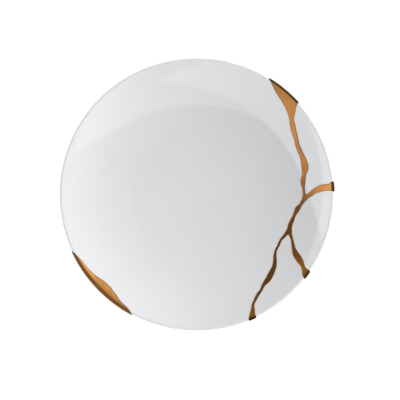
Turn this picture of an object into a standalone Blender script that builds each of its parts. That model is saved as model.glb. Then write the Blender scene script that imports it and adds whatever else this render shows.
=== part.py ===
"""A porcelain coupe plate, broken into four shards and mended with gold lacquer.

Metres, +Z up. The origin is the centre of the foot ring's face, on which the plate rests.
Break lines are free forms: they keep their places as shares of the rim radius, and their widths
as real sizes. Straight down is how the cuts go through the wall, so the gold shows on both sides.
"""

import math

import bmesh
import bpy
from mathutils import Vector

# The turned plate
RIM_RADIUS = 0.135
PLATE_HEIGHT = 0.032
FLOOR_RADIUS = 0.066
FLOOR_THICKNESS = 0.0045
LIP_THICKNESS = 0.0036
FOOT_HEIGHT = 0.0025
FOOT_RADIUS = 0.078
FOOT_WIDTH = 0.004
FOOT_DRAFT = 0.0006

# The lacquer stands proud of the glaze, above, below and round the lip, and is clear of the shards
GOLD_PROUD = 0.00035
FIT_GAP = 0.0003

# Fineness of the turned surfaces, of the break lines and of the helper solids
TURN_STEPS = 96
WALL_STEPS = 9
LIP_STEPS = 6
LINE_STEPS = 2
JUNCTION_STEPS = 12
REGION_STEPS = 24
TURN_MERGE = 0.00001

# Units of the break lines below: places in percent of the rim radius, widths in millimetres
PERCENT = RIM_RADIUS / 100
MILLIMETRE = 0.001

# Places where three break lines meet: x, y and the lacquer's width there
UPPER_JUNCTION = (79.7, -3.5, 4.6)
LOWER_JUNCTION = (68.1, -27.4, 5.2)

# Break lines from a junction outward: x, y and the lacquer's width
UPPER_LINE = (
    UPPER_JUNCTION,
    (78.8, 3.3, 2.8),
    (78.6, 9.6, 5.0),
    (79.3, 14.0, 4.3),
    (79.9, 19.0, 6.7),
    (78.9, 25.1, 5.6),
    (75.9, 32.6, 4.5),
    (72.7, 43.7, 4.6),
    (70.9, 50.9, 5.1),
    (70.0, 58.0, 6.1),
    (69.2, 64.5, 9.0),
    (64.0, 77.0, 9.0),
)
MIDDLE_LINE = (
    UPPER_JUNCTION,
    (76.6, -8.2, 3.8),
    (74.4, -11.2, 5.0),
    (72.2, -15.5, 3.3),
    (69.0, -22.9, 4.5),
    LOWER_JUNCTION,
)
RIGHT_LINE = (
    UPPER_JUNCTION,
    (83.7, -0.6, 4.7),
    (87.2, 1.9, 5.4),
    (90.6, 3.2, 6.8),
    (96.0, 3.8, 7.0),
    (99.9, 4.2, 10.2),
)
LOWER_RIGHT_LINE = (
    LOWER_JUNCTION,
    (70.1, -34.1, 2.9),
    (71.3, -41.6, 4.4),
    (73.7, -47.4, 6.4),
    (76.6, -52.9, 4.3),
    (79.9, -60.2, 9.6),
)
LOWER_LINE = (
    LOWER_JUNCTION,
    (62.1, -34.0, 2.7),
    (58.0, -42.5, 2.6),
    (57.4, -49.5, 3.9),
    (53.9, -59.9, 5.6),
    (48.7, -67.2, 3.4),
    (42.3, -78.1, 2.8),
    (40.5, -85.3, 4.0),
    (40.1, -91.5, 8.0),
)

# The chip where the upper line leaves the rim: its two edges, from the rim inward, x and y
CHIP_LEFT_EDGE = ((53.0, 84.8), (57.2, 76.2), (62.0, 69.0), (66.5, 61.8), (68.4, 54.0))
CHIP_RIGHT_EDGE = ((74.9, 66.3), (73.7, 64.5), (72.6, 61.2), (71.9, 54.0))

# The crescent chip in the rim: angle round the plate in degrees, depth from the rim in millimetres
CRESCENT_EDGE = (
    (204.5, -1.5),
    (206.2, 0.1),
    (210.1, 4.0),
    (216.0, 5.7),
    (220.7, 7.9),
    (224.5, 9.7),
    (228.0, 9.4),
    (235.1, 5.3),
    (239.1, 3.7),
    (241.8, -0.4),
    (243.0, -1.5),
)

# Helper solids run past the rim by a share of its radius, and past the plate above and below
RUN_OUT = 1.1
CUTTER_MARGIN = 0.006
REGION_MARGIN = 0.010

PORCELAIN = ("porcelain", (0.80, 0.80, 0.815, 1.0), 0.12, 0.0)
GOLD = ("gold_lacquer", (0.78, 0.46, 0.16, 1.0), 0.28, 1.0)

LIP_CENTRE_RADIUS = RIM_RADIUS - LIP_THICKNESS / 2
LIP_CENTRE_HEIGHT = PLATE_HEIGHT - LIP_THICKNESS / 2
FLOOR_CENTRE_HEIGHT = FOOT_HEIGHT + FLOOR_THICKNESS / 2
WALL_SPAN = LIP_CENTRE_RADIUS - FLOOR_RADIUS
WALL_RISE = LIP_CENTRE_HEIGHT - FLOOR_CENTRE_HEIGHT


def clear_scene():
    for thing in list(bpy.data.objects):
        bpy.data.objects.remove(thing, do_unlink=True)


def make_material(name, colour, roughness, metallic):
    material = bpy.data.materials.new(name)
    material.use_nodes = True
    shader = material.node_tree.nodes["Principled BSDF"]
    shader.inputs["Base Color"].default_value = colour
    shader.inputs["Roughness"].default_value = roughness
    shader.inputs["Metallic"].default_value = metallic
    material.diffuse_color = colour
    return material


def wall_share(radius):
    """0 on the flat floor, and from there up to 1 at the middle of the lip."""
    return max(0.0, (radius - FLOOR_RADIUS) / WALL_SPAN)


def wall_middle(radius):
    """Height half way through the wall, which rises ever more steeply towards the lip."""
    return FLOOR_CENTRE_HEIGHT + WALL_RISE * wall_share(radius) ** 2


def wall_slope(radius):
    return math.atan(2 * wall_share(radius) * WALL_RISE / WALL_SPAN)


def half_wall(radius, proud):
    """Half the wall's thickness, measured upright, with the lacquer's extra on it."""
    thickness = FLOOR_THICKNESS + wall_share(radius) * (LIP_THICKNESS - FLOOR_THICKNESS)
    return (thickness / 2 + proud) / math.cos(wall_slope(radius))


def spaced(start, end, steps):
    return [start + (end - start) * step / steps for step in range(steps + 1)]


def turned_outline(proud=0.0):
    """Half section of the plate from the middle of the floor, over the lip, to the middle below."""
    lip_slope = wall_slope(LIP_CENTRE_RADIUS)
    lip_half = LIP_THICKNESS / 2 + proud
    inner_end = LIP_CENTRE_RADIUS - math.sin(lip_slope) * lip_half
    outer_end = LIP_CENTRE_RADIUS + math.sin(lip_slope) * lip_half
    outline = [(0.0, FLOOR_CENTRE_HEIGHT + half_wall(0.0, proud))]
    for radius in spaced(FLOOR_RADIUS, inner_end, WALL_STEPS)[:-1]:
        outline.append((radius, wall_middle(radius) + half_wall(radius, proud)))
    for angle in spaced(lip_slope + math.pi / 2, lip_slope - math.pi / 2, LIP_STEPS):
        radius = LIP_CENTRE_RADIUS + lip_half * math.cos(angle)
        outline.append((radius, LIP_CENTRE_HEIGHT + lip_half * math.sin(angle)))
    for radius in spaced(outer_end, FOOT_RADIUS + FOOT_DRAFT, WALL_STEPS)[1:]:
        outline.append((radius, wall_middle(radius) - half_wall(radius, proud)))
    foot_inside = FOOT_RADIUS - FOOT_WIDTH
    outline += [(FOOT_RADIUS, 0.0), (foot_inside, 0.0)]
    foot_root = foot_inside - FOOT_DRAFT
    outline.append((foot_root, wall_middle(foot_root) - half_wall(foot_root, proud)))
    if foot_root > FLOOR_RADIUS:
        outline.append((FLOOR_RADIUS, FLOOR_CENTRE_HEIGHT - half_wall(0.0, proud)))
    outline.append((0.0, FLOOR_CENTRE_HEIGHT - half_wall(0.0, proud)))
    return outline


def outline_mesh(name, outline):
    mesh = bpy.data.meshes.new(name)
    points = [(radius, 0.0, height) for radius, height in outline]
    edges = [(index, index + 1) for index in range(len(points) - 1)]
    mesh.from_pydata(points, edges, [])
    return mesh


def smooth_path(stations):
    """A Catmull-Rom curve through the stations, each a tuple of plain numbers."""
    vectors = [Vector(station) for station in stations]
    ends = [2 * vectors[0] - vectors[1]] + vectors + [2 * vectors[-1] - vectors[-2]]
    path = []
    for before, start, end, after in zip(ends, ends[1:], ends[2:], ends[3:]):
        for step in range(LINE_STEPS):
            t = step / LINE_STEPS
            middle = (end - before) * t + (2 * before - 5 * start + 4 * end - after) * t**2
            path.append(start + (middle + (3 * start - before - 3 * end + after) * t**3) / 2)
    path.append(vectors[-1])
    return path


def to_plate(place):
    """A place in percent of the rim radius, in metres on the plate."""
    return Vector((place[0], place[1])) * PERCENT


def run_out(points):
    """The points with one more, straight out past the rim."""
    return points + [points[-1].normalized() * RIM_RADIUS * RUN_OUT]


def shifted(points, distances):
    """The points moved to the left of their way by a distance for each."""
    moved = []
    for index, point in enumerate(points):
        way = points[min(index + 1, len(points) - 1)] - points[max(index - 1, 0)]
        moved.append(point + Vector((-way.y, way.x)).normalized() * distances[index])
    return moved


def line_middle(stations):
    """Centre points and half widths of a break line, which ends at a junction or past the rim."""
    path = smooth_path(stations)
    points = [to_plate(place) for place in path]
    halves = [place[2] * MILLIMETRE / 2 for place in path]
    if stations[-1] not in (UPPER_JUNCTION, LOWER_JUNCTION):
        points = run_out(points)
        halves.append(halves[-1])
    return points, halves


def line_outline(stations, extra):
    """The outline of a break line's lacquer, widened by extra on either side."""
    points, halves = line_middle(stations)
    left = shifted(points, [half + extra for half in halves])
    right = shifted(points, [-half - extra for half in halves])
    return left + right[::-1]


def junction_outline(junction, extra):
    """The round blob of lacquer where three break lines meet."""
    centre = to_plate(junction)
    radius = junction[2] * MILLIMETRE / 2 + extra
    turns = spaced(0.0, 2 * math.pi, JUNCTION_STEPS)[:-1]
    return [centre + Vector((math.cos(turn), math.sin(turn))) * radius for turn in turns]


def chip_outline(extra):
    """The outline of the chip at the upper line's rim end, widened by extra."""
    left = [to_plate(place) for place in smooth_path(CHIP_LEFT_EDGE)][::-1]
    right = [to_plate(place) for place in smooth_path(CHIP_RIGHT_EDGE)][::-1]
    left = shifted(run_out(left), [extra] * (len(left) + 1))
    right = shifted(run_out(right), [-extra] * (len(right) + 1))
    return left + right[::-1]


def crescent_outline(extra):
    """The outline of the crescent chip, widened towards the plate by extra."""
    edge = []
    for angle, depth in smooth_path(CRESCENT_EDGE):
        reach = RIM_RADIUS - depth * MILLIMETRE
        turn = math.radians(angle)
        edge.append(Vector((math.cos(turn), math.sin(turn))) * reach)
    edge = shifted(edge, [extra] * len(edge))
    outside = [point.normalized() * RIM_RADIUS * RUN_OUT for point in edge]
    return edge + outside[::-1]


def region_outline(inward, outward):
    """One shard's share of the plane: in from the rim, out again, and round outside the rim.

    inward lists break lines to follow from their last station to their first, and outward the
    other way. Together they make one way across the plate, with the shard on its left.
    """
    path = []
    for stations in inward:
        path += line_middle(stations)[0][::-1]
    for stations in outward:
        path += line_middle(stations)[0]
    path = [point for point, after in zip(path, path[1:] + [None]) if point != after]
    start = math.atan2(path[-1].y, path[-1].x)
    sweep = (math.atan2(path[0].y, path[0].x) - start) % (2 * math.pi)
    far = RIM_RADIUS * RUN_OUT**2
    turns = spaced(start, start + sweep, REGION_STEPS)
    return path + [Vector((math.cos(turn), math.sin(turn))) * far for turn in turns]


def make_prism(name, outline, margin):
    """An upright helper solid over the outline, longer than the plate is high by margin each way."""
    shape = bmesh.new()
    corners = [shape.verts.new((point.x, point.y, -margin)) for point in outline]
    base = shape.faces.new(corners)
    height = PLATE_HEIGHT + 2 * margin
    raised = bmesh.ops.extrude_face_region(shape, geom=[base])["geom"]
    top = [item for item in raised if isinstance(item, bmesh.types.BMVert)]
    bmesh.ops.translate(shape, verts=top, vec=(0.0, 0.0, height))
    bmesh.ops.recalc_face_normals(shape, faces=shape.faces)
    mesh = bpy.data.meshes.new(name)
    shape.to_mesh(mesh)
    shape.free()
    prism = bpy.data.objects.new(name, mesh)
    bpy.context.scene.collection.objects.link(prism)
    prism.hide_render = True
    prism.display_type = "WIRE"
    return prism


def add_boolean(thing, other, operation):
    modifier = thing.modifiers.new(operation.lower() + "_" + other.name, "BOOLEAN")
    modifier.object = other
    modifier.operation = operation
    modifier.solver = "EXACT"


def make_network(name, extra):
    """All of the break lines, junctions and the chip as one helper solid, widened by extra."""
    outlines = [
        line_outline(UPPER_LINE, extra),
        chip_outline(extra),
        junction_outline(UPPER_JUNCTION, extra),
        line_outline(MIDDLE_LINE, extra),
        line_outline(RIGHT_LINE, extra),
        junction_outline(LOWER_JUNCTION, extra),
        line_outline(LOWER_RIGHT_LINE, extra),
        line_outline(LOWER_LINE, extra),
    ]
    network = make_prism(name, outlines[0], CUTTER_MARGIN)
    for number, outline in enumerate(outlines[1:], 1):
        branch = make_prism(f"{name}_branch_{number}", outline, CUTTER_MARGIN)
        add_boolean(network, branch, "UNION")
    return network


def make_turned(name, mesh, material):
    """A whole turned plate, for Booleans to take one piece from."""
    piece = bpy.data.objects.new(name, mesh)
    bpy.context.scene.collection.objects.link(piece)
    piece.data.materials.clear()
    piece.data.materials.append(material)
    screw = piece.modifiers.new("turn", "SCREW")
    screw.axis = "Z"
    screw.steps = TURN_STEPS
    screw.render_steps = TURN_STEPS
    screw.use_smooth_shade = True
    screw.use_merge_vertices = True
    screw.merge_threshold = TURN_MERGE
    return piece


def make_shards(porcelain):
    mesh = outline_mesh("plate_outline", turned_outline())
    seam_cut = make_network("seam_cut", FIT_GAP)
    crescent_cut = make_prism("crescent_cut", crescent_outline(FIT_GAP), CUTTER_MARGIN)
    regions = {
        "main_shard": ((LOWER_LINE, MIDDLE_LINE), (UPPER_LINE,)),
        "upper_right_shard": ((UPPER_LINE,), (RIGHT_LINE,)),
        "right_shard": ((RIGHT_LINE,), (MIDDLE_LINE, LOWER_RIGHT_LINE)),
        "lower_shard": ((LOWER_RIGHT_LINE,), (LOWER_LINE,)),
    }
    for name, (inward, outward) in regions.items():
        shard = make_turned(name, mesh, porcelain)
        region = make_prism("region_of_" + name, region_outline(inward, outward), REGION_MARGIN)
        add_boolean(shard, region, "INTERSECT")
        add_boolean(shard, seam_cut, "DIFFERENCE")
        if name == "main_shard":
            add_boolean(shard, crescent_cut, "DIFFERENCE")


def make_lacquer(gold):
    mesh = outline_mesh("lacquer_outline", turned_outline(GOLD_PROUD))
    seams = make_turned("gold_seams", mesh, gold)
    add_boolean(seams, make_network("seam_fill", 0.0), "INTERSECT")
    crescent = make_turned("gold_rim_fill", mesh, gold)
    fill = make_prism("crescent_fill", crescent_outline(0.0), CUTTER_MARGIN)
    add_boolean(crescent, fill, "INTERSECT")


def main():
    clear_scene()
    make_shards(make_material(*PORCELAIN))
    make_lacquer(make_material(*GOLD))


main()
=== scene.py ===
"""A white porcelain plate, broken and mended with gold lacquer.

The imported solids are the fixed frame. Each shard and each gold fill is modelled again here as a
finely rounded piece that stands for its solid: the turned profile of the plate, cut through by
the break lines, with the lacquer as a low smooth cushion that follows the glaze over the lip.
"""

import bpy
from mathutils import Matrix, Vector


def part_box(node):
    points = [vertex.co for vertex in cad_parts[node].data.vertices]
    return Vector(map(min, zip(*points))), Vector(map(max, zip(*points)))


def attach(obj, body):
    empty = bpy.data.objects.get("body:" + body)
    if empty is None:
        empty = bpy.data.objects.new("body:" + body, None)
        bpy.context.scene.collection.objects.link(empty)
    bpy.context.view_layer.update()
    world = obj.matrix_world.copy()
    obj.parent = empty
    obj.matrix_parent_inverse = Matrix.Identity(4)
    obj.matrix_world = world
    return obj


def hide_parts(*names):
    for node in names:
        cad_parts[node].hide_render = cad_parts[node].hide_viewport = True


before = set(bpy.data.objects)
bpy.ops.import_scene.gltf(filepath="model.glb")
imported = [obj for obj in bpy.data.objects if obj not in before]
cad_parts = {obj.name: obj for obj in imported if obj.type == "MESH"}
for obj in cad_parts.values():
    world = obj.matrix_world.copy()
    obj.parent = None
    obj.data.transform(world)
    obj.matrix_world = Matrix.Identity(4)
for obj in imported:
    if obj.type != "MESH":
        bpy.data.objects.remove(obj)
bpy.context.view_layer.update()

import copy
import math

import bpy
import numpy as np
from bpy.props import FloatProperty, FloatVectorProperty, IntProperty, PointerProperty
from mathutils import Vector

bl_info = {
    "name": "Kintsugi Plate",
    "version": (1, 0, 0),
    "blender": (4, 5, 0),
    "location": "View3D > Sidebar > Kintsugi",
    "description": "Builds a porcelain plate mended with gold lacquer over its packed solids",
    "category": "Add Mesh",
}

BODY = "root"
RIM_RADIUS = round(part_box("main_shard")[1].y, 4)
PLATE_HEIGHT = round(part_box("main_shard")[1].z, 4)

# Break lines from a junction outward: x and y in percent of the rim radius, width in millimetres
PERCENT = RIM_RADIUS / 100
MILLIMETRE = 0.001
UPPER_JUNCTION = (79.7, -3.5, 4.4)
LOWER_JUNCTION = (68.1, -27.4, 4.9)
UPPER_LINE = (
    UPPER_JUNCTION, (79.2, 0.7, 2.8), (78.8, 3.7, 2.7), (78.6, 6.6, 3.9),
    (78.6, 9.6, 5.0), (79.3, 14.0, 4.2), (79.9, 17.7, 6.3), (79.9, 20.6, 6.8),
    (78.9, 25.1, 5.6), (77.5, 28.8, 4.6), (75.9, 32.6, 4.5), (74.6, 36.3, 4.4),
    (73.7, 40.0, 4.0), (72.7, 43.7, 4.6), (71.7, 47.3, 5.1), (70.9, 50.9, 5.2),
    (70.3, 54.5, 4.6), (70.0, 58.0, 6.1), (69.6, 61.5, 8.4), (67.0, 69.0, 8.4),
)
MIDDLE_LINE = (
    UPPER_JUNCTION, (76.6, -8.2, 3.7), (74.4, -11.2, 5.1), (72.2, -15.5, 3.3),
    (70.7, -19.2, 3.8), (69.0, -22.9, 4.5), LOWER_JUNCTION,
)
RIGHT_LINE = (
    UPPER_JUNCTION, (81.6, -2.3, 4.2), (83.7, -0.6, 4.7), (87.2, 1.9, 5.4),
    (90.6, 3.2, 6.9), (94.0, 3.7, 6.8), (97.3, 3.8, 7.2), (99.9, 4.2, 10.2),
)
LOWER_RIGHT_LINE = (
    LOWER_JUNCTION, (69.3, -31.1, 3.4), (70.1, -34.1, 2.8), (70.7, -37.9, 3.4),
    (71.3, -41.6, 4.4), (72.7, -45.4, 6.2), (74.8, -49.1, 6.3), (76.6, -52.8, 4.4),
    (77.4, -55.4, 4.2), (79.9, -60.2, 9.6),
)
LOWER_LINE = (
    LOWER_JUNCTION, (65.3, -30.3, 3.4), (62.1, -34.0, 2.5), (60.4, -37.7, 2.7),
    (58.4, -41.4, 2.4), (57.6, -45.1, 3.0), (57.4, -48.8, 3.8), (57.1, -52.5, 4.1),
    (55.8, -56.2, 4.9), (53.9, -59.9, 5.7), (51.7, -63.6, 5.3), (48.7, -67.2, 3.4),
    (46.9, -70.9, 2.8), (44.3, -74.5, 3.1), (42.3, -78.1, 2.8), (40.8, -81.7, 2.9),
    (40.5, -85.3, 4.0), (40.1, -88.8, 5.9), (40.1, -91.5, 8.0),
)
BREAK_LINES = (UPPER_LINE, MIDDLE_LINE, RIGHT_LINE, LOWER_RIGHT_LINE, LOWER_LINE)

# The chip at the upper line's rim end: its two edges from the rim inward, x and y in percent
CHIP_LEFT_EDGE = (
    (53.0, 84.5), (55.7, 79.3), (57.2, 76.2), (59.5, 72.6),
    (62.0, 69.0), (64.3, 65.4), (66.5, 61.8),
)
CHIP_RIGHT_EDGE = ((74.7, 66.1), (73.7, 64.5), (73.2, 63.2), (72.6, 61.2))

# The crescent chip in the rim: angle round the plate in degrees, depth from the rim in millimetres
CRESCENT_EDGE = (
    (203.6, -1.5), (205.2, 0.0), (207.2, 1.9), (210.1, 3.9),
    (213.5, 5.0), (217.1, 5.9), (220.7, 7.7), (224.4, 9.5),
    (227.6, 9.6), (231.6, 7.8), (235.1, 5.4), (239.1, 3.7),
    (240.9, 2.1), (242.5, 0.0), (243.7, -1.5),
)

# Steps between two stations, how far past the rim an outline runs, the step for measuring slopes,
# the share of a mesh step over which corners are moved onto an outline, how much nearer they are
# taken as lying on it, the least slope to trust, and how near the rim a corner counts as on it
PATH_STEPS = 6
RUN_OUT = 1.1
FIELD_STEP = 0.00001
SNAP_SHARE = 0.15
SPLIT_FINER = 10
LEAST_STEEPNESS = 0.2
RIM_TOLERANCE = 0.000001

# The hand-drawn unevenness of the gold's outline and of its surface
EDGE_WANDER = 0.00013
EDGE_WANDER_SIZE = 0.0034
LACQUER_WANDER = 0.00004
LACQUER_WANDER_SIZE = 0.006
# Unevenness of the edge of the painted dark shade where the lines cross the rim
RIM_SHADE_WANDER = 0.00015
RIM_SHADE_WANDER_SIZE = 0.005

# How strongly the crescent is painted darker at the rim as painted shade, and between which heights in
# plan, in percent of the rim radius, the painted shade turns the lower lines a redder gold
CRESCENT_RIM_SHADE_SHARE = 0.6
LOWER_SHADE_FROM_TO = (-28.0, 2.0)

# Turns round the plate in degrees between which the gold lies and the steps inside and outside
# them, rows of corners up the gold's edge, and rings of corners on the floor
SEAM_TURNS = (-68, 62)
CRESCENT_TURNS = (202, 245)
FINE_TURN = 0.45
COARSE_TURN = 2.0
CUSHION_ROWS = (0.12, 0.35, 0.65, 1.0)
FLOOR_RINGS = 56

# The foot ring: rounding at its root, the plain underside's distance from its root outside and
# inside, rings of corners there and round each edge, and which faces are bare clay
ROOT_ROUNDING = 0.0011
ROOT_MARGINS = (0.0015, 0.0025)
ROOT_RINGS = (5, 16)
CORNER_STEPS = 5
CLAY_LEVEL_SHARE, CLAY_FLATNESS = 0.25, 0.9

# Edges sharper than this many degrees aren't shaded smooth
SHARP_ANGLE = 40

# Grain of the surfaces: humps to the metre and detail. Bumps: strength and height in metres.
# The noise lies within the span
NOISE_SPAN = (0.3, 0.7)
GLAZE_IOR = 1.75
GLAZE_CLOUDS = (22.0, 2.0)
GLAZE_GLOSS = (60.0, 3.0)
GLAZE_GLOSS_SHARES = (0.85, 1.2)
GLAZE_WAVES, GLAZE_WAVE_BUMP = (45.0, 1.0), (0.25, 0.0002)
GLAZE_PORES, GLAZE_PORE_BUMP = (700.0, 1.0), (0.05, 0.00005)
CLAY_ROUGHNESS = 0.85
CLAY_SAND, SAND_SHADE = (900.0, 3.0), 0.86
CLAY_GRAIN, CLAY_BUMP = (1400.0, 3.0), (0.4, 0.0001)
GOLD_PATCHES = (90.0, 2.0)
GOLD_GLOSS = (300.0, 3.0)
GOLD_GLOSS_SHARES = (0.92, 1.12)
GOLD_STROKES, GOLD_STROKE_BUMP = (180.0, 1.0), (0.06, 0.0002)
GOLD_POWDER, GOLD_POWDER_BUMP = (3200.0, 2.0), (0.06, 0.00005)

# Windows: turn round the plate in degrees, width, bottom and top in metres. Panels hung from the
# ceiling: x, y, turn in degrees, width and depth
WINDOW_REACH = 1.08
WINDOWS = (
    ("right_window", 13.9, 1.473, 0.215, 0.566),
    ("back_window", 89.9, 0.630, 0.086, 0.386),
    ("left_window", 176.0, 1.700, 0.548, 0.854),
)
CEILING_HEIGHT = 1.515
CEILING_PANELS = (
    ("side_panel", -2.600, 0.062, -40.7, 6.45, 2.00),
    ("front_panel", 0.570, -1.335, 0.0, 3.06, 1.878),
)

# The room: turn of its bright side, where along that direction it brightens, and the angles in
# degrees between which the horizon fades. The floor's roughness, and where the camera aims
BRIGHT_SIDE_TURN = 20.0
BRIGHT_SIDE_SPAN = (-0.1, 0.85)
HORIZON_ANGLES = (8, 20)
FLOOR_ROUGHNESS = 0.9
CAMERA_TARGET = (0.00315, -0.00778)
SENSOR_WIDTH = 36.0


def length(name, description, default, least=0.0):
    """A size in metres."""
    return FloatProperty(name=name, description=description, default=default, min=least, unit="LENGTH")


def number(name, description, default, least=0.0, most=1.0):
    """A plain number between two limits."""
    return FloatProperty(name=name, description=description, default=default, min=least, max=most)


def brightness(name, description, default):
    """How bright a light, the floor or the room is."""
    return FloatProperty(name=name, description=description, default=default, min=0.0)


def colour(name, description, default):
    """A colour that can be picked."""
    return FloatVectorProperty(
        name=name, description=description, default=default, subtype="COLOR", min=0.0, max=1.0
    )


class PlateSizes(bpy.types.PropertyGroup):
    """Sizes of the turned porcelain and of the lacquer on it."""

    floor_radius: length("Floor radius", "Radius of the dish's nearly flat floor", 0.066, 0.02)
    floor_slope: number(
        "Floor slope", "Steepness that the dished floor reaches at its edge, as rise over run",
        0.09, 0.0, 0.2,
    )
    floor_bend: number(
        "Floor bend", "Steepness that the bend at the floor's edge adds, as rise over run", 0.05, 0.0, 0.2
    )
    bend_width: length("Bend width", "Width of the short bend at the floor's edge", 0.006, 0.001)
    wall_curve: number(
        "Wall curve", "How late the wall steepens towards the rim. At 1 it steepens evenly", 1.6, 1.0, 4.0
    )
    floor_thickness: length("Floor thickness", "Thickness of the wall at the floor", 0.0038, 0.001)
    lip_thickness: length(
        "Lip thickness", "Thickness of the wall where it is rounded over at the rim", 0.0036, 0.001
    )
    foot_height: length("Foot height", "Height of the underside's middle above the table", 0.001, 0.001)
    foot_radius: length("Foot radius", "Outer radius of the foot ring's flat face", 0.078, 0.02)
    foot_width: length("Foot width", "Width of the foot ring's flat face", 0.004, 0.001)
    foot_draft: length("Foot draft", "How much wider the foot ring is at its root on either side", 0.0006)
    foot_rounding: length("Foot rounding", "Rounding of the foot ring's lower edges", 0.0006, 0.0001)
    seam_start: length("Seam start", "Radius inside which the plate has no break line", 0.088, 0.05)
    crescent_start: length(
        "Crescent start", "Radius inside which the crescent chip doesn't reach", 0.118, 0.05
    )
    lacquer_height: length(
        "Lacquer height", "How far the lacquer's cushion stands proud of the glaze", 0.00035
    )
    lacquer_sink: length("Lacquer sink", "How far the lacquer's edge lies below the glaze", 0.00004)
    lacquer_rounding: length(
        "Lacquer rounding", "Width over which the lacquer rises from its edge", 0.0008, 0.0001
    )
    # Painted shade: width of the dark line painted along the gold's edge
    edge_width: length(
        "Dark edge", "Width over which the dark lacquer shows along the gold's edge", 0.0005, 0.0001
    )
    # Painted shade: width of the dark cap painted where the lines cross the rim
    rim_shade_width: length(
        "Cap width", "Width of the dark lacquer that caps the lines where they cross the rim", 0.0015
    )
    # Painted shade: width over which the crescent is painted darker towards the rim
    crescent_rim_shade_width: length(
        "Crescent cap width", "Width over which the crescent darkens towards the rim", 0.0040
    )
    # Painted shade: width over which the painted dark cap passes into gold
    rim_shade_softness: length(
        "Cap softness", "Width over which a line's dark cap passes into gold", 0.0004, 0.0001
    )
    lip_swell: length("Lip swell", "How much thicker the lacquer is on the rim's roll", 0.00045)
    lip_swell_width: length(
        "Lip swell width", "Width over which the lacquer thickens towards the rim", 0.0028, 0.0005
    )
    lacquer_gap: length("Lacquer gap", "Hairline between the lacquer and the broken porcelain", 0.00003)
    junction_fillet: length(
        "Junction fillet", "How far the lacquer pools in the corners where two lines meet", 0.0012
    )
    crescent_slope: number(
        "Crescent slope", "Steepness of the hump over the crescent chip, as rise over run at its edge", 0.22
    )
    shard_step: length("Shard step", "Fineness of the porcelain across the wall", 0.0009, 0.0003)
    gold_step: length("Gold step", "Fineness of the lacquer", 0.0003, 0.0001)
    lip_steps: IntProperty(
        name="Lip steps", description="Steps round the upper part of the lip's roll", default=14, min=6
    )


class PlateFinish(bpy.types.PropertyGroup):
    """Colours and gloss of the glaze, the bare clay and the gold."""

    glaze_colour: colour("Glaze", "Colour of the glazed porcelain", (0.805, 0.81, 0.82))
    glaze_tint: colour(
        "Glaze clouds", "Colour of the faint clouds, where the glaze lies thicker", (0.785, 0.793, 0.807)
    )
    glaze_roughness: number("Glaze roughness", "Roughness of the glaze", 0.06)
    clay_colour: colour("Bare clay", "Colour of the unglazed face of the foot ring", (0.60, 0.57, 0.52))
    gold_colour: colour("Gold", "Colour of the gold powder", (0.415, 0.192, 0.058))
    gold_deep: colour("Deep gold", "Colour of the gold where the powder is thinner", (0.385, 0.170, 0.050))
    # Painted shade: a redder gold painted on the lower lines for their shaded tone
    gold_lower_shade: colour(
        "Thin gold", "Colour of the lower lines, where the lacquer shows through", (0.420, 0.175, 0.042)
    )
    # Painted shade: the dark colour painted along the gold's edge
    edge_shade_colour: colour(
        "Lacquer", "Colour of the lacquer that shows along the gold's edge", (0.20, 0.10, 0.045)
    )
    # Painted shade: the dark colour painted where the gold rolls over the rim
    rim_shade_colour: colour(
        "Cap lacquer", "Colour of the dark lacquer that caps the gold at the rim", (0.055, 0.022, 0.006)
    )
    gold_roughness: number("Gold roughness", "Roughness of the burnished gold", 0.30)


class StudioSizes(bpy.types.PropertyGroup):
    """Where the camera stands and how bright the studio is."""

    lens: FloatProperty(
        name="Lens", description="Focal length of the camera in millimetres", default=85.0, min=20.0
    )
    distance: length("Distance", "From the camera to the middle of the rim's plane", 0.9275, 0.2)
    elevation: FloatProperty(
        name="Elevation",
        description="Angle of the camera above the table",
        default=math.radians(84),
        min=0.0,
        max=math.pi / 2,
        subtype="ANGLE",
        unit="ROTATION",
    )
    floor_width: length("Floor width", "Width of the pale floor", 30.0, 1.0)
    floor_colour: colour("Floor", "Colour of the pale floor", (0.80, 0.80, 0.80))
    floor_glow: brightness("Floor glow", "Light that the floor gives off, as a light table does", 0.43)
    right_window_strength: brightness(
        "Right window", "Brightness of the low wide window at the right", 3.30
    )
    back_window_strength: brightness("Back window", "Brightness of the narrow window at the back", 2.98)
    left_window_strength: brightness("Left window", "Brightness of the high wide window at the left", 1.02)
    side_panel_strength: brightness(
        "Side panel", "Brightness of the large soft panel over the front left", 1.28
    )
    front_panel_strength: brightness(
        "Front panel", "Brightness of the large soft panel over the front", 0.70
    )
    room_dark: brightness(
        "Room's dark side", "Brightness of the room overhead and at the back left", 0.135
    )
    room_bright: brightness("Room's bright side", "Brightness of the room at the right", 1.10)
    horizon_strength: brightness("Horizon", "Brightness of the room at the height of the table", 0.91)


def faded(value, start, end):
    """One up to the start, nothing past the end, and smooth between them."""
    share = np.clip((value - start) / (end - start), 0.0, 1.0)
    return 1 - share * share * (3 - 2 * share)


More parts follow.
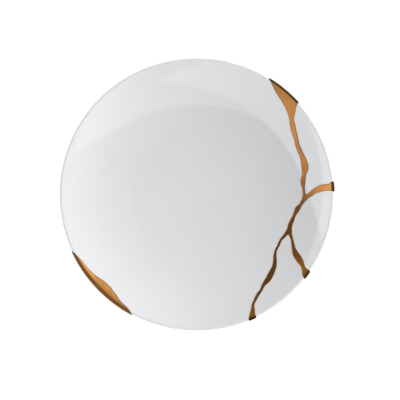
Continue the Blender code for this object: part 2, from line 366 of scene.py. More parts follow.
class WallSection:
    """Half section of the turned plate: heights and outward normals of both of its sides."""

    SAMPLES = 3000
    LIP_SAMPLES = 600

    def __init__(self, sizes):
        self.lip_half = sizes.lip_thickness / 2
        self.lip_radius = RIM_RADIUS - self.lip_half
        self.lip_height = PLATE_HEIGHT - self.lip_half
        self.floor_radius = sizes.floor_radius
        self.floor_half = sizes.floor_thickness / 2
        self.span = self.lip_radius - self.floor_radius
        self.curve_middle(sizes)
        self.over = self.table(1)
        self.under = self.table(-1)

    def curve_middle(self, sizes):
        """Slope and height of the wall's middle: a dished floor, a short bend, then the wall."""
        self.middle = np.linspace(0.0, self.lip_radius, self.SAMPLES)
        self.share = np.clip((self.middle - self.floor_radius) / self.span, 0.0, None)
        half_bend = sizes.bend_width / 2
        bend = 1 - faded(self.middle, self.floor_radius - half_bend, self.floor_radius + half_bend)
        dish = sizes.floor_slope * np.minimum(self.middle / self.floor_radius, 1.0)
        floor = dish + sizes.floor_bend * bend
        wall = self.share**sizes.wall_curve
        lowest = sizes.foot_height + self.floor_half
        rise = self.lip_height - lowest
        wall *= (rise - self.climb(floor)[-1]) / self.climb(wall)[-1]
        self.slope = np.arctan(floor + wall)
        self.height = lowest + self.climb(floor + wall)
        self.lip_slope = self.slope[-1]

    def climb(self, steepness):
        """Height gained from the middle outward."""
        steps = (steepness[1:] + steepness[:-1]) / 2 * self.middle[1]
        return np.concatenate([[0.0], np.cumsum(steps)])

    def table(self, side):
        """Radius, height and normal of one side, from the middle out to the rim's widest line."""
        slope = self.slope
        half = self.floor_half + self.share * (self.lip_half - self.floor_half)
        height = self.height + side * half * np.cos(slope)
        radius = self.middle - side * half * np.sin(slope)
        start = self.lip_slope + math.pi / 2 if side > 0 else math.pi / 2 - self.lip_slope
        turn = np.linspace(start, 0.0, self.LIP_SAMPLES)[1:]
        radius = np.append(radius, self.lip_radius + self.lip_half * np.cos(turn))
        height = np.append(height, self.lip_height + side * self.lip_half * np.sin(turn))
        out = np.append(-side * np.sin(slope), np.cos(turn))
        up = side * np.append(np.cos(slope), np.sin(turn))
        return radius, height, out, up

    def at(self, radius, side):
        """Height, and the normal's outward and upward parts, at each radius."""
        table = self.over if side > 0 else self.under
        return [np.interp(radius, table[0], column) for column in table[1:]]

    def radii(self, start, step, lip_steps):
        """Radii across the wall, closer together round the lip's roll."""
        inner = self.lip_radius - self.lip_half * math.sin(self.lip_slope)
        wall = np.linspace(start, inner, max(2, round((inner - start) / step)) + 1)
        turn = np.linspace(self.lip_slope + math.pi / 2, 0.0, lip_steps + 1)[1:]
        return np.append(wall, self.lip_radius + self.lip_half * np.cos(turn))


def smooth_path(stations):
    """A Catmull-Rom curve through the stations, as an array."""
    knots = np.array(stations, float)
    ends = np.vstack([2 * knots[0] - knots[1], knots, 2 * knots[-1] - knots[-2]])
    share = np.linspace(0.0, 1.0, PATH_STEPS, endpoint=False)[:, None]
    path = []
    for before, start, end, after in zip(ends, ends[1:], ends[2:], ends[3:]):
        linear = (end - before) * share
        square = (2 * before - 5 * start + 4 * end - after) * share**2
        cube = (3 * start - before - 3 * end + after) * share**3
        path.append(start + (linear + square + cube) / 2)
    return np.vstack(path + [knots[-1:]])


def run_out(points):
    """The points with one more, straight out past the rim."""
    far = points[-1] / np.linalg.norm(points[-1]) * RIM_RADIUS * RUN_OUT
    return np.vstack([points, far])


def off_segment(places, start, end):
    """How far along a segment each place lies, as a share, and its distance from it."""
    way = end - start
    offset = places - start
    share = np.clip(offset @ way / (way @ way), 0.0, 1.0)
    return share, np.linalg.norm(offset - share[:, None] * way, axis=1)


def stroke_distance(places, points, halves):
    """Distance of each place from a stroke's edge, negative inside the stroke."""
    nearest = np.full(len(places), np.inf)
    for start, end, half, next_half in zip(points, points[1:], halves, halves[1:]):
        share, gap = off_segment(places, start, end)
        nearest = np.minimum(nearest, gap - half - share * (next_half - half))
    return nearest


def patch_distance(places, corners):
    """Distance of each place from a closed outline, negative inside it."""
    nearest = np.full(len(places), np.inf)
    inside = np.zeros(len(places), bool)
    x, y = places.T
    for start, end in zip(corners, np.roll(corners, -1, axis=0)):
        nearest = np.minimum(nearest, off_segment(places, start, end)[1])
        if start[1] != end[1]:
            crossing = start[0] + (y - start[1]) * (end[0] - start[0]) / (end[1] - start[1])
            inside ^= ((start[1] > y) != (end[1] > y)) & (x < crossing)
    return np.where(inside, -nearest, nearest)


def pooled(one, other, fillet):
    """The nearer of two distances, with the corner between them filled in softly."""
    if fillet <= 0:
        return np.minimum(one, other)
    share = np.clip(0.5 + (other - one) / (2 * fillet), 0.0, 1.0)
    return other + (one - other) * share - fillet * share * (1 - share)


def ripple(x, y, size):
    """A smooth hand-made unevenness between about -1 and 1, with humps of about this size."""
    u, v = x / size * math.pi, y / size * math.pi
    first = np.sin(u + 0.9 * np.sin(0.7 * v + 1.0))
    second = np.sin(1.13 * v + 0.8 * np.sin(0.9 * u + 2.0))
    third = np.sin(0.77 * (u + v) + 0.6 * np.sin(1.3 * (u - v)))
    return (first + second + third) / 3


def wavering(distance, places):
    """The distance with the gold's hand-drawn edge."""
    return distance + EDGE_WANDER * ripple(*places.T, EDGE_WANDER_SIZE)


def seam_distance(places, fillet):
    """Distance of each place from the edge of the mended break lines, negative on the lacquer."""
    total = None
    for stations in BREAK_LINES:
        path = smooth_path(stations)
        points = path[:, :2] * PERCENT
        halves = path[:, 2] * MILLIMETRE / 2
        if stations[-1] is not LOWER_JUNCTION and stations is not UPPER_LINE:
            points = run_out(points)
            halves = np.append(halves, halves[-1])
        line = stroke_distance(places, points, halves)
        total = line if total is None else pooled(total, line, fillet)
    left = run_out(smooth_path(CHIP_LEFT_EDGE)[::-1] * PERCENT)
    right = run_out(smooth_path(CHIP_RIGHT_EDGE)[::-1] * PERCENT)
    chip = patch_distance(places, np.vstack([left, right[::-1]]))
    return wavering(pooled(total, chip, fillet), places)


def crescent_distance(places):
    """Distance of each place from the crescent's edge, negative on the lacquer."""
    path = smooth_path(CRESCENT_EDGE)
    turn = np.radians(path[:, 0])
    reach = RIM_RADIUS - path[:, 1] * MILLIMETRE
    edge = np.column_stack([np.cos(turn), np.sin(turn)]) * reach[:, None]
    outside = edge / np.linalg.norm(edge, axis=1)[:, None] * RIM_RADIUS * RUN_OUT
    return wavering(patch_distance(places, np.vstack([edge, outside[::-1]])), places)


def mended_distance(places, fillet):
    """Distance of each place from the nearest gold, negative on it."""
    return np.minimum(seam_distance(places, fillet), crescent_distance(places))


class Sheet:
    """Triangles spread over the wall between two radii, seen from above, for cutting to shape.

    Each corner has its radius, its turn round the plate, and its distance from the gold's edge.
    """

    def __init__(self, radii, turns, closed, measure):
        self.measure = measure
        self.columns = len(turns)
        rings, columns = len(radii), len(turns)
        self.radius = np.repeat(radii, columns)
        self.turn = np.tile(turns, rings)
        self.distance = measure(self.places())
        steps = np.arange(columns if closed else columns - 1)
        following = (steps + 1) % columns
        triangles = []
        for ring in range(rings - 1):
            near, far = ring * columns, (ring + 1) * columns
            a, b = near + steps, far + steps
            c, d = far + following, near + following
            flip = (steps + ring) % 2 == 0
            triangles.append(np.where(flip[:, None], np.stack([a, b, c], 1), np.stack([a, b, d], 1)))
            triangles.append(np.where(flip[:, None], np.stack([a, c, d], 1), np.stack([b, c, d], 1)))
        self.triangles = np.vstack(triangles)

    def places(self, radius_shift=0.0, side_shift=0.0):
        radius = self.radius + radius_shift
        turn = self.turn + side_shift / self.radius
        return np.column_stack([radius * np.cos(turn), radius * np.sin(turn)])

    def part(self, chosen):
        """A sheet of the chosen triangles alone."""
        piece = copy.copy(self)
        piece.keep(chosen)
        return piece

    def on_rim(self):
        """Which corners lie on the rim's widest line."""
        return self.radius > RIM_RADIUS - RIM_TOLERANCE

    def keep(self, chosen):
        """Keeps only the chosen triangles and their corners."""
        self.triangles = self.triangles[chosen]
        used = np.unique(self.triangles)
        place = np.full(len(self.radius), -1)
        place[used] = np.arange(len(used))
        self.triangles = place[self.triangles]
        self.radius, self.turn = self.radius[used], self.turn[used]
        self.distance = self.distance[used]

    def snap(self, reach):
        """Moves corners that are nearly on the edge onto it. The rim's move round the plate only."""
        across = (self.measure(self.places(FIELD_STEP, 0.0)) - self.distance) / FIELD_STEP
        along = (self.measure(self.places(0.0, FIELD_STEP)) - self.distance) / FIELD_STEP
        across = np.where(self.on_rim(), 0.0, across)
        steepness = across**2 + along**2
        near = (np.abs(self.distance) < reach) & (steepness > LEAST_STEEPNESS)
        shift = np.where(near, self.distance / np.maximum(steepness, LEAST_STEEPNESS), 0.0)
        moved = np.minimum(self.radius - shift * across, RIM_RADIUS - FIELD_STEP)
        self.radius = np.where(self.on_rim(), self.radius, moved)
        self.turn = self.turn - shift * along / self.radius
        self.distance = np.where(near, 0.0, self.distance)

    def split(self, level, reach):
        """Cuts the triangles along the line at this distance from the edge."""
        gap = self.distance - level
        gap[np.abs(gap) < reach] = 0.0
        sides = np.sign(gap)[self.triangles]
        crossing = (sides.max(1) > 0) & (sides.min(1) < 0)
        triangles = self.triangles[~crossing].tolist()
        radius, turn, distance, cuts = [], [], [], {}

        def cut(start, end):
            key = (start, end) if start < end else (end, start)
            if key not in cuts:
                first, second = key
                share = gap[first] / (gap[first] - gap[second])
                sweep = (self.turn[second] - self.turn[first] + math.pi) % (2 * math.pi) - math.pi
                radius.append(self.radius[first] * (1 - share) + self.radius[second] * share)
                turn.append(self.turn[first] + sweep * share)
                distance.append(level)
                cuts[key] = len(self.radius) + len(cuts)
            return cuts[key]

        for corners in self.triangles[crossing].tolist():
            signs = [gap[corner] for corner in corners]
            if 0.0 in signs:
                first = signs.index(0.0)
                a, b, c = corners[first:] + corners[:first]
                middle = cut(b, c)
                triangles += [[a, b, middle], [a, middle, c]]
                continue
            lone = next(k for k in range(3) if all(signs[k] * signs[j] < 0 for j in range(3) if j != k))
            a, b, c = corners[lone:] + corners[:lone]
            first, second = cut(a, b), cut(a, c)
            triangles += [[a, first, second], [first, b, c], [first, c, second]]
        self.triangles = np.array(triangles)
        self.radius = np.append(self.radius, radius)
        self.turn = np.append(self.turn, turn)
        self.distance = np.append(self.distance, distance)

    def inside(self, level=0.0):
        """Which triangles lie on the gold's side of the level."""
        return self.distance[self.triangles].mean(1) < level

    def groups(self):
        """A number for each triangle, the same for all that hang together."""
        parent = list(range(len(self.radius)))

        def root(item):
            while parent[item] != item:
                parent[item] = parent[parent[item]]
                item = parent[item]
            return item

        for a, b, c in self.triangles.tolist():
            parent[root(b)] = root(a)
            parent[root(c)] = root(a)
        return np.array([root(a) for a in self.triangles[:, 0].tolist()])

    def open_edges(self):
        """The outline's edges, each with its triangle on the left."""
        edges = np.vstack([self.triangles[:, [0, 1]], self.triangles[:, [1, 2]], self.triangles[:, [2, 0]]])
        known = set(map(tuple, edges.tolist()))
        return [(a, b) for a, b in edges.tolist() if (b, a) not in known]


def placed(name, data):
    """An object with this data, linked into the scene."""
    item = bpy.data.objects.new(name, data)
    bpy.context.scene.collection.objects.link(item)
    return item


class Solid:
    """Gathers the corners and faces of one closed piece."""

    def __init__(self):
        self.corners = []
        self.faces = []
        self.count = 0

    def add_corners(self, places):
        first = self.count
        self.corners.append(places)
        self.count += len(places)
        return np.arange(first, self.count)

    def make(self, name, materials):
        mesh = bpy.data.meshes.new(name)
        mesh.from_pydata(np.vstack(self.corners).tolist(), [], self.faces)
        mesh.update()
        mesh.shade_smooth()
        mesh.set_sharp_from_angle(angle=math.radians(SHARP_ANGLE))
        for material in materials:
            mesh.materials.append(material)
        return placed(name, mesh)


def raised(radius, turn, section, side, lift):
    """Places on one side of the wall, lifted along the normal."""
    height, out, up = section.at(radius, side)
    reach = radius + out * lift
    return np.column_stack([reach * np.cos(turn), reach * np.sin(turn), height + up * lift])


def add_slab(solid, sheet, section, lift_over, lift_under, closed_from=0.0):
    """Adds a sheet's two sides and the broken walls between them. They join along the rim."""
    over = solid.add_corners(raised(sheet.radius, sheet.turn, section, 1, lift_over))
    on_rim = sheet.on_rim()
    lower = raised(sheet.radius, sheet.turn, section, -1, lift_under)
    under = over.copy()
    under[~on_rim] = solid.add_corners(lower[~on_rim])
    a, b, c = sheet.triangles.T
    solid.faces += np.stack([over[a], over[b], over[c]], 1).tolist()
    solid.faces += np.stack([under[c], under[b], under[a]], 1).tolist()
    for start, end in sheet.open_edges():
        if on_rim[start] and on_rim[end]:
            continue
        if max(sheet.radius[start], sheet.radius[end]) <= closed_from:
            continue
        wall = [over[end], over[start], under[start], under[end]]
        solid.faces.append([int(item) for item in dict.fromkeys(wall)])
    return over, under


def rounded_corner(before, corner, after, size):
    """Points of an arc that rounds the corner of a profile."""
    before, corner, after = Vector(before), Vector(corner), Vector(after)
    start = corner + (before - corner).normalized() * size
    end = corner + (after - corner).normalized() * size
    points = []
    for step in range(CORNER_STEPS + 1):
        share = step / CORNER_STEPS
        points.append((1 - share) ** 2 * start + 2 * share * (1 - share) * corner + share**2 * end)
    return points


def underside_profile(sizes, section):
    """The underside from the start of the seams inward, over the foot ring, to the middle."""
    outer_root = sizes.foot_radius + sizes.foot_draft
    inner = sizes.foot_radius - sizes.foot_width
    inner_root = inner - sizes.foot_draft
    outer_margin, inner_margin = ROOT_MARGINS
    outer_rings, inner_rings = ROOT_RINGS

    def surface(radius):
        return Vector((radius, float(section.at(radius, -1)[0])))

    radii = np.linspace(sizes.seam_start, outer_root + outer_margin, outer_rings)
    outer = [surface(radius) for radius in radii[1:]]
    joint = surface(outer_root)
    foot_outer, foot_inner = Vector((sizes.foot_radius, 0.0)), Vector((inner, 0.0))
    inner_joint = surface(inner_root)
    middle = surface(sizes.floor_radius)
    profile = outer + rounded_corner(outer[-1], joint, foot_outer, ROOT_ROUNDING)
    profile += rounded_corner(joint, foot_outer, foot_inner, sizes.foot_rounding)
    profile += rounded_corner(foot_outer, foot_inner, inner_joint, sizes.foot_rounding)
    profile += rounded_corner(foot_inner, inner_joint, middle, ROOT_ROUNDING)
    for radius in np.linspace(inner_root - inner_margin, 0.0, inner_rings)[:-1]:
        profile.append(surface(radius))
    return profile


def add_turned(solid, ring, profile, turns, flip):
    """Adds a turned surface from an existing ring of corners through the profile to the middle."""
    last = ring
    for radius, height in profile:
        places = np.column_stack(
            [radius * np.cos(turns), radius * np.sin(turns), np.full(len(turns), height)]
        )
        row = solid.add_corners(places)
        quads = np.stack([last, np.roll(last, -1), np.roll(row, -1), row], 1)
        solid.faces += (quads[:, ::-1] if flip else quads).tolist()
        last = row
    centre = int(solid.add_corners(np.array([[0.0, 0.0, profile[-1][1]]]))[0])
    for near, far in zip(last.tolist(), np.roll(last, -1).tolist()):
        solid.faces.append([far, near, centre] if flip else [near, far, centre])


def shard_turns():
    """Turns round the plate, close together where there are break lines and wide elsewhere."""
    ends = (*SEAM_TURNS, *CRESCENT_TURNS, SEAM_TURNS[0] + 360)
    turns = []
    for start, end, step in zip(ends, ends[1:], (FINE_TURN, COARSE_TURN, FINE_TURN, COARSE_TURN)):
        turns.append(np.linspace(start, end, max(2, round((end - start) / step)), endpoint=False))
    return np.radians(np.concatenate(turns))


def cushion(depth, sizes):
    """Height of the lacquer at this depth in from its edge: a quick round rise, then level."""
    share = np.clip(depth / sizes.lacquer_rounding, 0.0, 1.0)
    rise = np.sqrt(np.clip(1 - (1 - share) ** 2, 0.0, 1.0))
    return -sizes.lacquer_sink + (sizes.lacquer_height + sizes.lacquer_sink) * rise


def new_material(name, base, roughness, metallic=0.0):
    """A material with one principled shader."""
    material = bpy.data.materials.new(name)
    material.use_nodes = True
    shader = material.node_tree.nodes["Principled BSDF"]
    shader.inputs["Base Color"].default_value = (*base, 1.0)
    shader.inputs["Roughness"].default_value = roughness
    shader.inputs["Metallic"].default_value = metallic
    return material, shader


def add_node(owner, kind, **values):
    """A node of a material or of the room, with its settings and input values by name."""
    node = owner.node_tree.nodes.new(kind)
    for name, value in values.items():
        if name in node.inputs:
            node.inputs[name].default_value = value
        else:
            setattr(node, name, value)
    return node


def link(owner, start, end):
    owner.node_tree.links.new(start, end)


def ranged(owner, source, start, end, low, high, **values):
    """A number that runs from low to high while the source runs from start to end."""
    limits = {"From Min": start, "From Max": end, "To Min": low, "To Max": high}
    node = add_node(owner, "ShaderNodeMapRange", **limits, **values)
    link(owner, source, node.inputs["Value"])
    return node


def noise_of(material, scale, detail):
    """Noise in the object's own space, at so many humps to the metre."""
    place = add_node(material, "ShaderNodeTexCoord")
    noise = add_node(material, "ShaderNodeTexNoise", Scale=scale, Detail=detail)
    link(material, place.outputs["Object"], noise.inputs["Vector"])
    return noise.outputs["Fac"]


def spread(material, grain, low=0.0, high=1.0):
    """Noise of this grain, turned into numbers from low to high."""
    return ranged(material, noise_of(material, *grain), *NOISE_SPAN, low, high).outputs["Result"]


def blended(material, share, one, other):
    """A colour between two others. Each is a colour or a socket."""
    mix = add_node(material, "ShaderNodeMix", data_type="RGBA")
    link(material, share, mix.inputs["Factor"])
    for name, value in (("A", one), ("B", other)):
        socket = next(item for item in mix.inputs if item.name == name and item.type == "RGBA")
        if isinstance(value, bpy.types.NodeSocket):
            link(material, value, socket)
        else:
            socket.default_value = (*value, 1.0)
    return next(item for item in mix.outputs if item.type == "RGBA")


def bumped(material, shader, grain, size, before=None):
    """Adds a bump of this grain to the shader, on top of an earlier one."""
    bump = add_node(material, "ShaderNodeBump", Strength=size[0], Distance=size[1])
    link(material, noise_of(material, *grain), bump.inputs["Height"])
    if before is not None:
        link(material, before, bump.inputs["Normal"])
    link(material, bump.outputs["Normal"], shader.inputs["Normal"])
    return bump.outputs["Normal"]


def uneven_gloss(material, shader, grain, roughness, shares):
    """Lets the roughness wander between two shares of its value."""
    low, high = (roughness * share for share in shares)
    link(material, spread(material, grain, low, high), shader.inputs["Roughness"])


def glaze_material(finish):
    """White glaze with faint clouds, a slightly uneven gloss and a soft waviness."""
    material, shader = new_material("porcelain_glaze", finish.glaze_colour, finish.glaze_roughness)
    shader.inputs["IOR"].default_value = GLAZE_IOR
    clouds = spread(material, GLAZE_CLOUDS)
    clouded = blended(material, clouds, finish.glaze_colour, finish.glaze_tint)
    link(material, clouded, shader.inputs["Base Color"])
    uneven_gloss(material, shader, GLAZE_GLOSS, finish.glaze_roughness, GLAZE_GLOSS_SHARES)
    waves = bumped(material, shader, GLAZE_WAVES, GLAZE_WAVE_BUMP)
    bumped(material, shader, GLAZE_PORES, GLAZE_PORE_BUMP, waves)
    return material


def clay_material(finish):
    """Bare fired clay on the foot's face, matt and slightly sandy."""
    material, shader = new_material("bare_clay_foot", finish.clay_colour, CLAY_ROUGHNESS)
    sand = spread(material, CLAY_SAND)
    darker = tuple(part * SAND_SHADE for part in finish.clay_colour)
    link(material, blended(material, sand, finish.clay_colour, darker), shader.inputs["Base Color"])
    bumped(material, shader, CLAY_GRAIN, CLAY_BUMP)
    return material


def gold_material(finish):
    """Gold powder burnished on lacquer, with painted shade: a thin dark edge, a dark cap at the rim and a
    redder gold on the lower lines.
    """
    material, shader = new_material("gold_powder_lacquer", finish.gold_colour, finish.gold_roughness, 1.0)
    # Layers of painted shade: a redder gold on the lower lines, a dark line along the edge and a dark cap
    # at the rim
    layers = {
        "painted_lower_shade": finish.gold_lower_shade,
        "painted_edge_shade": finish.edge_shade_colour,
        "painted_rim_shade": finish.rim_shade_colour,
    }
    gold = blended(material, spread(material, GOLD_PATCHES), finish.gold_colour, finish.gold_deep)
    for name, layer in layers.items():
        shade = add_node(material, "ShaderNodeAttribute", attribute_name=name)
        gold = blended(material, shade.outputs["Fac"], gold, layer)
    link(material, gold, shader.inputs["Base Color"])
    uneven_gloss(material, shader, GOLD_GLOSS, finish.gold_roughness, GOLD_GLOSS_SHARES)
    strokes = bumped(material, shader, GOLD_STROKES, GOLD_STROKE_BUMP)
    bumped(material, shader, GOLD_POWDER, GOLD_POWDER_BUMP, strokes)
    return material


def dress(piece, node):
    """Makes the piece stand for its solid."""
    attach(piece, BODY)
    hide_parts(node)


class KINTSUGI_OT_shards(bpy.types.Operator):
    """Builds the four porcelain shards, the largest one with the floor and the foot ring"""

    bl_idname = "kintsugi.make_shards"
    bl_label = "Make Shards"
    bl_options = {"REGISTER", "UNDO"}

    def execute(self, context):
        sizes, finish = context.scene.plate_sizes, context.scene.plate_finish
        section = WallSection(sizes)
        turns = shard_turns()
        radii = section.radii(sizes.seam_start, sizes.shard_step, sizes.lip_steps)
        fillet = sizes.junction_fillet
        sheet = Sheet(radii, turns, True, lambda places: mended_distance(places, fillet))
        reach = sizes.shard_step * SNAP_SHARE
        sheet.snap(reach)
        sheet.split(0.0, reach / SPLIT_FINER)
        sheet.triangles = sheet.triangles[~sheet.inside()]
        groups = sheet.groups()
        centres = sheet.places()[sheet.triangles].mean(1)
        glaze, clay = glaze_material(finish), clay_material(finish)
        for node in ("main_shard", "upper_right_shard", "right_shard", "lower_shard"):
            low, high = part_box(node)
            middle = np.array([(low.x + high.x) / 2, (low.y + high.y) / 2])
            if node == "main_shard":
                group = groups[0]
            else:
                group = groups[np.argmin(np.linalg.norm(centres - middle, axis=1))]
            self.make_shard(node, sheet.part(groups == group), section, sizes, turns, glaze, clay)
        return {"FINISHED"}

    def make_shard(self, node, sheet, section, sizes, turns, glaze, clay):
        """One shard. The main one also gets the floor, the foot ring and the middle below."""
        solid = Solid()
        main = node == "main_shard"
        closed_from = sizes.seam_start + FIELD_STEP if main else 0.0
        over, under = add_slab(solid, sheet, section, 0.0, 0.0, closed_from)
        if main:
            radii = np.linspace(sizes.seam_start, 0.0, FLOOR_RINGS)[1:-1]
            heights = section.at(radii, 1)[0]
            ring = slice(0, sheet.columns)
            add_turned(solid, over[ring], list(zip(radii, heights)), turns, False)
            add_turned(solid, under[ring], underside_profile(sizes, section), turns, True)
        piece = solid.make(node + "_glazed", [glaze, clay] if main else [glaze])
        if main:
            level = sizes.foot_rounding * CLAY_LEVEL_SHARE
            for face in piece.data.polygons:
                if face.center.z < level and abs(face.normal.z) > CLAY_FLATNESS:
                    face.material_index = 1
        dress(piece, node)


class KINTSUGI_OT_gold(bpy.types.Operator):
    """Builds the gold lacquer along the break lines and in the crescent chip"""

    bl_idname = "kintsugi.make_gold"
    bl_label = "Make Gold"
    bl_options = {"REGISTER", "UNDO"}

    def execute(self, context):
        sizes, finish = context.scene.plate_sizes, context.scene.plate_finish
        section = WallSection(sizes)
        gold = gold_material(finish)
        gap = sizes.lacquer_gap

        def seams(places):
            return seam_distance(places, sizes.junction_fillet) + gap

        def crescent(places):
            return crescent_distance(places) + gap

        lines = self.spread_sheet(seams, SEAM_TURNS, sizes.seam_start, section, sizes)
        self.make_lacquer("gold_seams", lines, section, sizes, gold)
        chip = self.spread_sheet(crescent, CRESCENT_TURNS, sizes.crescent_start, section, sizes)
        self.make_lacquer("gold_rim_fill", chip, section, sizes, gold)
        return {"FINISHED"}

    def spread_sheet(self, measure, turns, inner, section, sizes):
        """A fine sheet cut to the gold's outline, with rows of corners along its rising edge."""
        step = sizes.gold_step * 1
        start, end = np.radians(turns)
        columns = round((end - start) * section.lip_radius / step)
        radii = section.radii(inner, step, sizes.lip_steps)
        sheet = Sheet(radii, np.linspace(start, end, columns), False, measure)
        sheet.keep(sheet.distance[sheet.triangles].min(1) < step)
        reach = step * SNAP_SHARE
        sheet.snap(reach)
        sheet.split(0.0, reach / SPLIT_FINER)
        sheet.keep(sheet.inside())
        for share in CUSHION_ROWS:
            sheet.split(-share * sizes.lacquer_rounding, reach)
        return sheet

    def make_lacquer(self, node, sheet, section, sizes, gold):
        """One closed body of lacquer over the sheet, with painted shade along its edge and over the rim,
        and a redder painted shade on the lower lines.
        """
        crescent = node == "gold_rim_fill"
        depth = np.maximum(-sheet.distance, 0.0)
        to_rim = np.maximum(RIM_RADIUS - sheet.radius, 0.0)
        x, y = sheet.places().T
        level = np.clip(depth / sizes.lacquer_rounding, 0.0, 1.0)
        swell = sizes.lip_swell * faded(to_rim, 0.0, sizes.lip_swell_width)
        wander = LACQUER_WANDER * ripple(x, y, LACQUER_WANDER_SIZE)
        lift = cushion(depth, sizes) + level * (swell + wander)
        hump = 0.0
        if crescent:
            hump = sizes.crescent_slope * depth * to_rim / np.maximum(depth + to_rim, FIELD_STEP)
        solid = Solid()
        over, under = add_slab(solid, sheet, section, lift + hump, lift)
        piece = solid.make(node + "_lacquer", [gold])
        if crescent:
            # Painted shade: the crescent is painted darker towards the rim, where the lip rolls away from
            # the light
            rim_shade = CRESCENT_RIM_SHADE_SHARE * faded(to_rim, sizes.rim_shade_softness, sizes.crescent_rim_shade_width)
            lower_shade = np.zeros(len(depth))
        else:
            # Painted shade: a dark cap painted where the lines cross the rim
            width = sizes.rim_shade_width + RIM_SHADE_WANDER * ripple(x, y, RIM_SHADE_WANDER_SIZE)
            rim_shade = faded(to_rim, width - sizes.rim_shade_softness / 2, width + sizes.rim_shade_softness / 2)
            # Painted shade: the lower lines are painted a redder gold for their shaded tone
            lower_shade = faded(y, *np.array(LOWER_SHADE_FROM_TO) * PERCENT)
        # Painted shade: a dark line along the gold's edge, standing in for the dark reflection of its steep
        # rise
        edge = faded(depth, 0.0, sizes.edge_width)
        shades = {"painted_edge_shade": edge, "painted_rim_shade": rim_shade, "painted_lower_shade": lower_shade}
        for name, shade in shades.items():
            values = np.zeros(solid.count)
            values[over], values[under] = shade, shade
            attribute = piece.data.attributes.new(name, "FLOAT", "POINT")
            attribute.data.foreach_set("value", values.astype(np.float32))
        dress(piece, node)


def place_panel(name, centre, facing, size, strength):
    """A large soft light of an even brightness, turned to face a place."""
    data = bpy.data.lights.new(name, "AREA")
    data.shape = "RECTANGLE"
    data.size, data.size_y = size
    data.energy = strength * math.pi * size[0] * size[1]
    light = placed(name, data)
    light.location = centre
    light.rotation_euler = (Vector(facing) - Vector(centre)).to_track_quat("-Z", "Y").to_euler()
    light.visible_camera = False
    return light


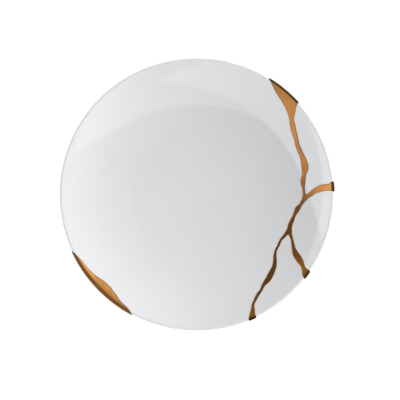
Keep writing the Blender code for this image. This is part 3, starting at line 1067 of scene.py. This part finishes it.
class KINTSUGI_OT_stage(bpy.types.Operator):
    """Sets up the pale floor, the soft studio lights and the camera"""

    bl_idname = "kintsugi.make_stage"
    bl_label = "Make Stage"
    bl_options = {"REGISTER", "UNDO"}

    def execute(self, context):
        studio = context.scene.studio_sizes
        self.make_floor(studio)
        self.make_lights(studio)
        self.make_room(context.scene, studio)
        self.make_camera(context.scene, studio)
        context.scene.view_settings.view_transform = "Standard"
        context.scene.view_settings.look = "None"
        return {"FINISHED"}

    def make_floor(self, studio):
        half = studio.floor_width / 2
        mesh = bpy.data.meshes.new("floor")
        corners = [(-half, -half, 0.0), (half, -half, 0.0), (half, half, 0.0), (-half, half, 0.0)]
        mesh.from_pydata(corners, [], [(0, 1, 2, 3)])
        material, shader = new_material("pale_floor", studio.floor_colour, FLOOR_ROUGHNESS)
        shader.inputs["Specular IOR Level"].default_value = 0.0
        shader.inputs["Emission Color"].default_value = (1.0, 1.0, 1.0, 1.0)
        shader.inputs["Emission Strength"].default_value = studio.floor_glow
        mesh.materials.append(material)
        floor = placed("floor", mesh)
        # Its glow would wash out the plate's outer side
        floor.visible_diffuse = False

    def make_lights(self, studio):
        for name, turn, width, bottom, top in WINDOWS:
            turn, middle = math.radians(turn), (bottom + top) / 2
            centre = (WINDOW_REACH * math.cos(turn), WINDOW_REACH * math.sin(turn), middle)
            strength = getattr(studio, name + "_strength")
            place_panel(name, centre, (0.0, 0.0, middle), (width, top - bottom), strength)
        for name, x, y, turn, width, depth in CEILING_PANELS:
            strength = getattr(studio, name + "_strength")
            panel = place_panel(name, (x, y, CEILING_HEIGHT), (x, y, 0.0), (width, depth), strength)
            panel.rotation_euler = (0.0, 0.0, math.radians(turn))

    def make_room(self, scene, studio):
        """A pale horizon below a room that is bright at the right and dim overhead and behind."""
        world = bpy.data.worlds.new("room")
        world.use_nodes = True
        smooth = {"interpolation_type": "SMOOTHSTEP"}
        place = add_node(world, "ShaderNodeTexCoord").outputs["Generated"]
        parts = add_node(world, "ShaderNodeSeparateXYZ")
        link(world, place, parts.inputs["Vector"])
        side = add_node(world, "ShaderNodeVectorMath", operation="DOT_PRODUCT")
        turn = math.radians(BRIGHT_SIDE_TURN)
        side.inputs[1].default_value = (math.cos(turn), math.sin(turn), 0.0)
        link(world, place, side.inputs[0])
        ends = (*BRIGHT_SIDE_SPAN, studio.room_dark, studio.room_bright)
        room = ranged(world, side.outputs["Value"], *ends, **smooth)
        low, high = (math.sin(math.radians(angle)) for angle in HORIZON_ANGLES)
        sky = ranged(world, parts.outputs["Z"], low, high, studio.horizon_strength, 0.0, **smooth)
        link(world, room.outputs["Result"], sky.inputs["To Max"])
        background = world.node_tree.nodes["Background"]
        link(world, sky.outputs["Result"], background.inputs["Strength"])
        background.inputs["Color"].default_value = (1.0, 1.0, 1.0, 1.0)
        scene.world = world

    def make_camera(self, scene, studio):
        data = bpy.data.cameras.new("camera")
        data.lens = studio.lens
        data.sensor_width = SENSOR_WIDTH
        camera = placed("camera", data)
        target = Vector((*CAMERA_TARGET, PLATE_HEIGHT))
        back = Vector((0.0, -math.cos(studio.elevation), math.sin(studio.elevation)))
        camera.location = target + studio.distance * back
        camera.rotation_euler = (-back).to_track_quat("-Z", "Y").to_euler()
        scene.camera = camera


class KINTSUGI_PT_plate(bpy.types.Panel):
    """Lists the sizes, the finish and the steps that build the plate"""

    bl_idname = "KINTSUGI_PT_plate"
    bl_label = "Kintsugi Plate"
    bl_space_type = "VIEW_3D"
    bl_region_type = "UI"
    bl_category = "Kintsugi"

    def draw(self, context):
        for operator in OPERATORS:
            self.layout.operator(operator.bl_idname)
        for name, (group, title) in GROUPS.items():
            box = self.layout.box()
            box.label(text=title)
            for item in group.__annotations__:
                box.prop(getattr(context.scene, name), item)


GROUPS = {
    "plate_sizes": (PlateSizes, "Sizes"),
    "plate_finish": (PlateFinish, "Finish"),
    "studio_sizes": (StudioSizes, "Studio"),
}
OPERATORS = (KINTSUGI_OT_shards, KINTSUGI_OT_gold, KINTSUGI_OT_stage)


def register():
    for name, (group, title) in GROUPS.items():
        bpy.utils.register_class(group)
        setattr(bpy.types.Scene, name, PointerProperty(type=group, name=title))
    for item in (*OPERATORS, KINTSUGI_PT_plate):
        bpy.utils.register_class(item)


def unregister():
    for item in reversed((*OPERATORS, KINTSUGI_PT_plate)):
        bpy.utils.unregister_class(item)
    for name, (group, title) in reversed(GROUPS.items()):
        delattr(bpy.types.Scene, name)
        bpy.utils.unregister_class(group)


def main():
    register()
    for operator in OPERATORS:
        group, name = operator.bl_idname.split(".")
        getattr(getattr(bpy.ops, group), name)()
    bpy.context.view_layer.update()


if __name__ == "__main__":
    main()
